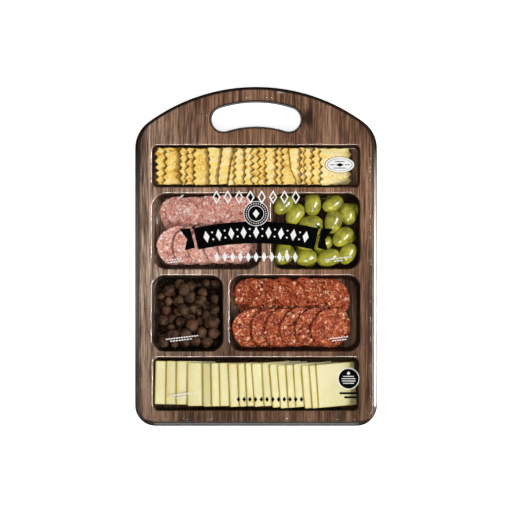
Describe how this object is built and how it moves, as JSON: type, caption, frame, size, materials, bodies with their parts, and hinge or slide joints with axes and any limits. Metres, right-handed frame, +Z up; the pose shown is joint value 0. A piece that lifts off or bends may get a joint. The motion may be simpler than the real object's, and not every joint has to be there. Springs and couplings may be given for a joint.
{
  "type": "charcuterie board",
  "caption": "Sealed charcuterie tasting board: a wood-look tray with an arched top and handle slot, holding crackers, sliced salami, olives, chocolates and cheese.",
  "frame": {"origin": "under the middle of the board, on the plane that the tray rests on", "axes": "+Z up out of the film, +Y along the board towards its handle slot, +X to the right seen from above"},
  "size_m": [0.254, 0.356, 0.032],
  "materials": {
    "tray_plastic": "thin formed sheet printed with fine straight wood grain, satin",
    "lid_film": "clear glossy lidding film",
    "print_black": "solid black ink on the film",
    "print_white": "solid white ink on the film",
    "cracker": "dry golden baked crisp bread, blistered",
    "mild_salami": "pale pink cured meat with white fat flecks, slightly moist",
    "spiced_salami": "brick red cured meat with pale fat flecks, slightly moist",
    "cheese": "smooth pale yellow cheese, darker at its cut edges",
    "olive": "wet glossy green skin",
    "chocolate": "dull dark brown chocolate coating"
  },
  "bodies": {
    "root": {"tray": "tray_plastic", "lid_film": "lid_film", "cracker_01": "cracker", "cracker_02": "cracker", "cracker_03": "cracker", "cracker_04": "cracker", "cracker_05": "cracker", "cracker_06": "cracker", "cracker_07": "cracker", "cracker_08": "cracker", "cracker_09": "cracker", "cracker_10": "cracker", "cracker_11": "cracker", "cracker_12": "cracker", "cracker_13": "cracker", "cracker_14": "cracker", "cracker_15": "cracker", "mild_salami_back_01": "mild_salami", "mild_salami_back_02": "mild_salami", "mild_salami_back_03": "mild_salami", "mild_salami_back_04": "mild_salami", "mild_salami_back_05": "mild_salami", "mild_salami_front_01": "mild_salami", "mild_salami_front_02": "mild_salami", "mild_salami_front_03": "mild_salami", "mild_salami_front_04": "mild_salami", "mild_salami_front_05": "mild_salami", "olives": "olive", "chocolates": "chocolate", "spiced_salami_back_01": "spiced_salami", "spiced_salami_back_02": "spiced_salami", "spiced_salami_back_03": "spiced_salami", "spiced_salami_back_04": "spiced_salami", "spiced_salami_back_05": "spiced_salami", "spiced_salami_back_06": "spiced_salami", "spiced_salami_front_01": "spiced_salami", "spiced_salami_front_02": "spiced_salami", "spiced_salami_front_03": "spiced_salami", "spiced_salami_front_04": "spiced_salami", "spiced_salami_front_05": "spiced_salami", "spiced_salami_front_06": "spiced_salami", "cheese_01": "cheese", "cheese_02": "cheese", "cheese_03": "cheese", "cheese_04": "cheese", "cheese_05": "cheese", "cheese_06": "cheese", "cheese_07": "cheese", "cheese_08": "cheese", "cheese_09": "cheese", "cheese_10": "cheese", "cheese_11": "cheese", "cheese_12": "cheese", "cheese_13": "cheese", "cheese_14": "cheese", "cheese_15": "cheese", "cheese_16": "cheese", "cheese_17": "cheese", "cheese_18": "cheese", "cheese_19": "cheese"}
  },
  "joints": []
}
